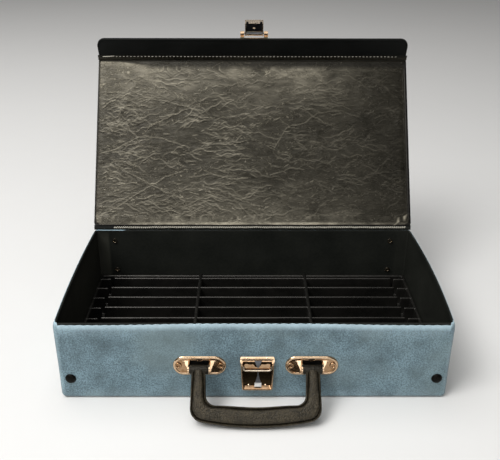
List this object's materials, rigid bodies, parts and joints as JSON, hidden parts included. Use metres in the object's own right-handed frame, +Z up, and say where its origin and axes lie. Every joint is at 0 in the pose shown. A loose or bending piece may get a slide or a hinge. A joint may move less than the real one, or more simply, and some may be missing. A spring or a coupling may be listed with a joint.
{
  "type": "cassette case",
  "caption": "Low rectangular travel case with slotted tray for boxed cassettes, hinged lid with folding front flap, carrying handle, sliding catch and hasp.",
  "frame": {"origin": "middle of the flat underside of the base", "axes": "+X to the right along the front, +Y from the front to the rear hinge, +Z up; lid, flap and handle stand as in the picture at rest"},
  "size_m": [0.356, 0.3453, 0.294],
  "materials": {
    "blue_vinyl": "matt grained vinyl, slightly worn at the edges",
    "under_vinyl": "plain vinyl sheet",
    "board": "pressed fibre board",
    "black_lining": "semi-gloss black vinyl",
    "lid_lining": "glossy creased vinyl with a leather grain",
    "tray_plastic": "vacuum-formed black plastic",
    "black_plastic": "pebbled black plastic",
    "brass_plate": "bright brass-plated steel, lightly tarnished",
    "rivet_metal": "dull plated tubular rivets",
    "steel": "grey spring steel",
    "dark_steel": "blackened steel"
  },
  "bodies": {
    "base": {"bottom_cover": "under_vinyl", "base_cover": "blue_vinyl", "bottom_board": "board", "front_board": "board", "rear_board": "board", "left_board": "board", "right_board": "board", "base_lining": "black_lining", "tray": "tray_plastic", "front_studs": "black_plastic", "rear_feet": "black_plastic", "rear_foot_rivets": "rivet_metal", "handle_plate_left": "brass_plate", "handle_plate_right": "brass_plate", "handle_plate_rivets": "rivet_metal", "handle_pins": "steel", "catch_body": "brass_plate", "catch_spring": "steel", "catch_rivets": "brass_plate", "hinge_strip_base": "blue_vinyl"},
    "slider": {"catch_slider": "brass_plate"},
    "handle": {"handle": "black_plastic"},
    "lid": {"lid_board": "board", "lid_cover": "blue_vinyl", "lid_lining": "lid_lining", "hinge_strip_lid": "blue_vinyl", "fold_strip_lid": "black_lining"},
    "flap": {"flap_board": "board", "flap_cover": "blue_vinyl", "flap_lining": "black_lining", "fold_strip_flap": "black_lining", "hasp_base": "brass_plate", "hasp_base_rivets": "brass_plate", "hasp_pin": "steel"},
    "hasp": {"hasp": "brass_plate", "hasp_tongue": "dark_steel", "hasp_tongue_rivet": "rivet_metal"}
  },
  "joints": [
    {"name": "lid_hinge", "type": "hinge", "parent": "base", "child": "lid", "pos_m": [0, 0.09495, 0.08345], "axis": [-1, 0, 0], "range_deg": [-123, 57]},
    {"name": "flap_fold", "type": "hinge", "parent": "lid", "child": "flap", "pos_m": [0, 0.20116, 0.24699], "axis": [-1, 0, 0], "range_deg": [-35, 55]},
    {"name": "hasp_swing", "type": "hinge", "parent": "flap", "child": "hasp", "pos_m": [0.0016, 0.19442, 0.279], "axis": [-1, 0, 0], "range_deg": [0, 160]},
    {"name": "handle_swing", "type": "hinge", "parent": "base", "child": "handle", "pos_m": [0.0015, -0.105, 0.0382], "axis": [-1, 0, 0], "range_deg": [-45, 90]},
    {"name": "catch_slide", "type": "slide", "parent": "base", "child": "slider", "axis": [0, 0, -1], "range_m": [0, 0.005], "stiffness_N_per_m": 300}
  ]
}
